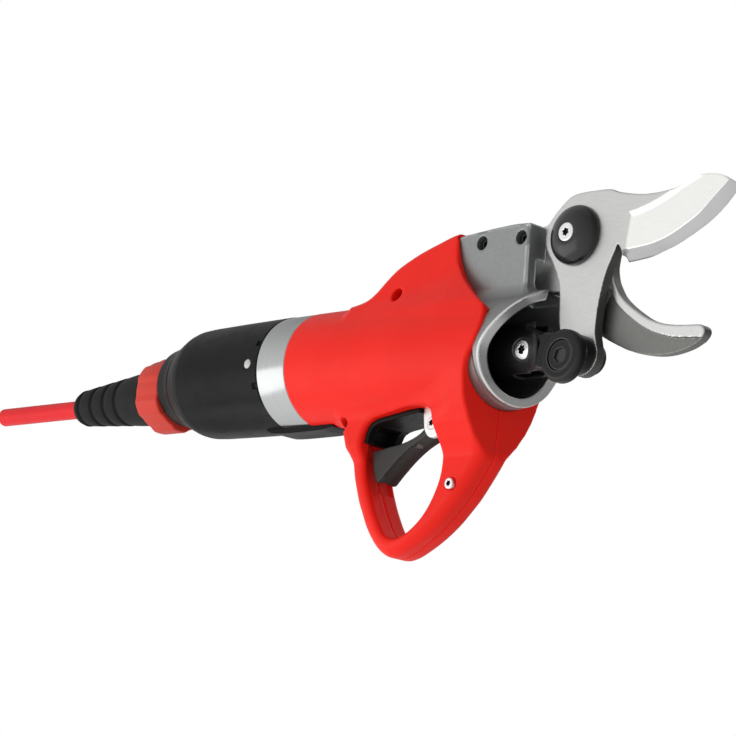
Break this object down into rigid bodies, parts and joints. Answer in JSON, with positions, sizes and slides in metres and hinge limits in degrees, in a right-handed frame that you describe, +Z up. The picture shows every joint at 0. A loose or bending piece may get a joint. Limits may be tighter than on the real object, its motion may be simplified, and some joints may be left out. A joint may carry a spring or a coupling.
{
  "type": "battery electric pruner",
  "caption": "Corded-handle electric pruner: round motor grip, finger loop with trigger, push-rod driven curved blade closing on a hooked anvil, cable at the rear.",
  "frame": {"origin": "on the cable's axis, where the cable leaves the rear end of its strain-relief boot; the drive axis runs 4 mm above it", "axes": "+X forward along the drive axis to the blades, +Y to the tool's left, +Z up, away from the finger loop"},
  "size_m": [0.3904, 0.0434, 0.1211],
  "materials": {
    "red_shell": "satin moulded red with a fine grain",
    "red_ring": "satin moulded red",
    "red_cable": "smooth red cable jacket",
    "black_plastic": "satin black moulding",
    "black_gloss": "polished black dome",
    "black_rubber": "matt black rubber",
    "bright_aluminium": "turned, fine circumferential lines",
    "head_aluminium": "bead-blasted grey with bright edges",
    "blade_steel": "ground and brushed",
    "anvil_steel": "dark satin with a ground land",
    "black_steel": "black oxide",
    "bright_steel": "plated fastener",
    "bearing_steel": "ground",
    "copper": "bare copper and brass",
    "board_green": "lacquered circuit board",
    "trigger_grey": "satin dark grey moulding",
    "clear_lens": "clear moulded lens"
  },
  "bodies": {
    "handle": {"right_shell": "red_shell", "left_shell": "red_shell", "head_housing": "head_aluminium", "anvil_blade": "anvil_steel", "dome_cap": "black_gloss", "dome_screw": "bright_steel", "pivot_bolt": "black_steel", "pivot_nut": "black_steel", "trigger_bracket": "bright_aluminium", "trigger_pin": "bearing_steel", "trigger_liner": "black_plastic", "motor_sleeve": "bright_aluminium", "rear_cap": "black_plastic", "status_lens": "clear_lens", "keel_strip": "black_plastic", "strain_relief_boot": "black_rubber", "power_cable": "red_cable", "cable_cores": "copper", "shell_screws": "bright_steel", "loop_screw": "bright_steel", "head_screws": "black_steel", "motor_can": "bearing_steel", "stator_core": "bearing_steel", "stator_coils": "copper", "rear_bearing": "bearing_steel", "front_bearing": "bearing_steel", "bearing_block": "bright_aluminium", "rod_guide_bush": "copper", "wiper_seal": "black_rubber", "control_board": "board_green", "connector_socket": "black_plastic", "plug_insert": "black_plastic", "contact_pins": "copper", "trigger_spring": "bearing_steel", "trigger_sensor": "board_green"},
    "blade": {"cutting_blade": "blade_steel"},
    "rod": {"push_rod": "black_steel", "ball_nut": "bearing_steel", "rod_pin": "bright_steel"},
    "link": {"link_clevis": "black_steel", "tail_pin": "black_steel"},
    "screw": {"drive_screw": "bearing_steel", "motor_rotor": "bearing_steel"},
    "trigger": {"trigger": "trigger_grey", "trigger_magnet": "bearing_steel"},
    "lock_ring": {"locking_ring": "red_ring"}
  },
  "joints": [
    {"name": "blade_pivot", "type": "hinge", "parent": "handle", "child": "blade", "pos_m": [0.2675, -0.002, 0.0405], "axis": [0, 1, 0], "range_deg": [0, 46]},
    {"name": "rod_slide", "type": "slide", "parent": "handle", "child": "rod", "axis": [1, 0, 0], "range_m": [-0.0332, 0.0001]},
    {"name": "link_swing", "type": "hinge", "parent": "rod", "child": "link", "pos_m": [0.2519, -0.002, 0.002], "axis": [0, 1, 0], "range_deg": [-13.2, 0.2]},
    {"name": "screw_spin", "type": "hinge", "parent": "handle", "child": "screw", "pos_m": [0.1305, 0, 0.004], "axis": [1, 0, 0], "range_deg": [-4, 2390]},
    {"name": "trigger_pull", "type": "hinge", "parent": "handle", "child": "trigger", "pos_m": [0.21, 0, -0.0198], "axis": [0, 1, 0], "range_deg": [0, 11], "stiffness_Nm_per_rad": 0.05},
    {"name": "ring_turn", "type": "hinge", "parent": "handle", "child": "lock_ring", "pos_m": [0.0555, 0, 0.0015], "axis": [1, 0, 0], "range_deg": [0, 60]}
  ],
  "couplings": [
    {"joint": "rod_slide", "follows": "blade_pivot", "m_per_rad": -0.0412},
    {"joint": "link_swing", "follows": "blade_pivot", "ratio": -0.28},
    {"joint": "screw_spin", "follows": "blade_pivot", "ratio": 51.773}
  ]
}
